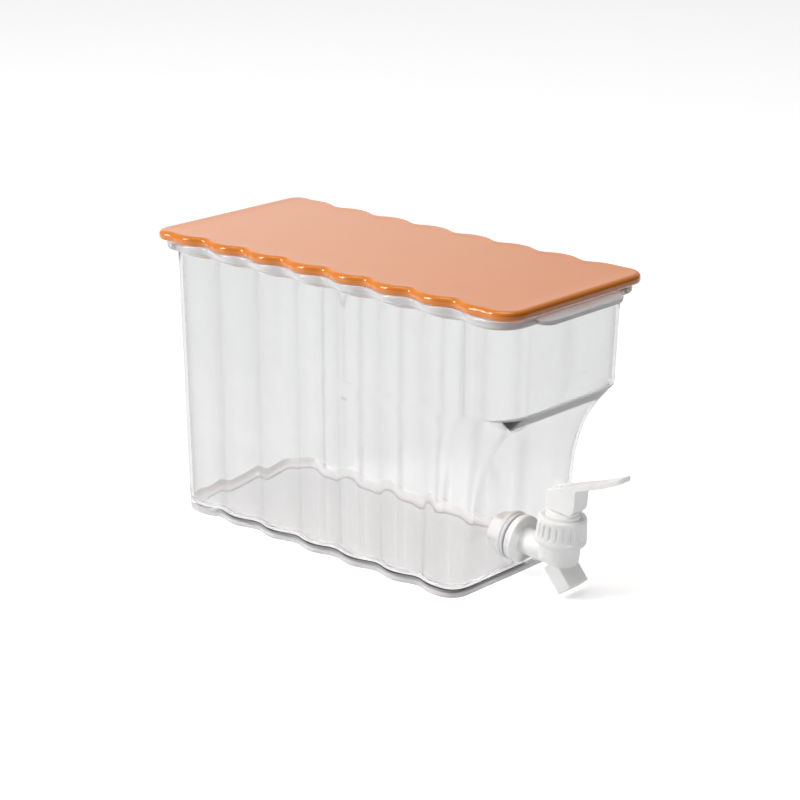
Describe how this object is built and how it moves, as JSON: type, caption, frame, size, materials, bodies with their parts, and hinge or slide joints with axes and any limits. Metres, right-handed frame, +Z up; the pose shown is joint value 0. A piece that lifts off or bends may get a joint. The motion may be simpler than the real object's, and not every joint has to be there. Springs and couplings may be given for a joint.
{
  "type": "beverage dispenser",
  "caption": "Clear fluted rectangular drink dispenser with a lift-off orange lid, a stepped front wall and a white lever tap low on one end.",
  "frame": {"origin": "middle of the tank's flat base, at table height", "axes": "+X towards the tap end, +Z up, Y across the tank"},
  "size_m": [0.318, 0.1262, 0.181],
  "materials": {
    "clear": "clear polished",
    "orange": "glossy moulded",
    "silicone": "soft satin",
    "white": "satin moulded",
    "spring_wire": "drawn wire",
    "pin_steel": "ground"
  },
  "bodies": {
    "tank": {"container": "clear", "tap_body": "white", "outer_washer": "silicone", "inner_washer": "silicone", "lock_nut": "white", "collar_nut": "white", "bonnet": "white", "seat_cup": "silicone", "return_spring": "spring_wire"},
    "lid": {"lid": "orange", "lid_gasket": "silicone"},
    "valve": {"valve_stem": "white", "lever_pin": "pin_steel"},
    "lever": {"lever": "white"}
  },
  "joints": [
    {"name": "lid_lift", "type": "slide", "parent": "tank", "child": "lid", "axis": [0, 0, 1], "range_m": [0, 0.06]},
    {"name": "stem_lift", "type": "slide", "parent": "tank", "child": "valve", "axis": [0.0872, 0, 0.9962], "range_m": [0, 0.0027], "deforming": ["return_spring", "seat_cup"]},
    {"name": "lever_press", "type": "hinge", "parent": "valve", "child": "lever", "pos_m": [0.15132, 0, 0.05721], "axis": [0, 1, 0], "range_deg": [0, 20], "stiffness_Nm_per_rad": 0.028, "springref_deg": -57.3}
  ],
  "couplings": [
    {"joint": "stem_lift", "follows": "lever_press", "m_per_rad": 0.0075}
  ]
}
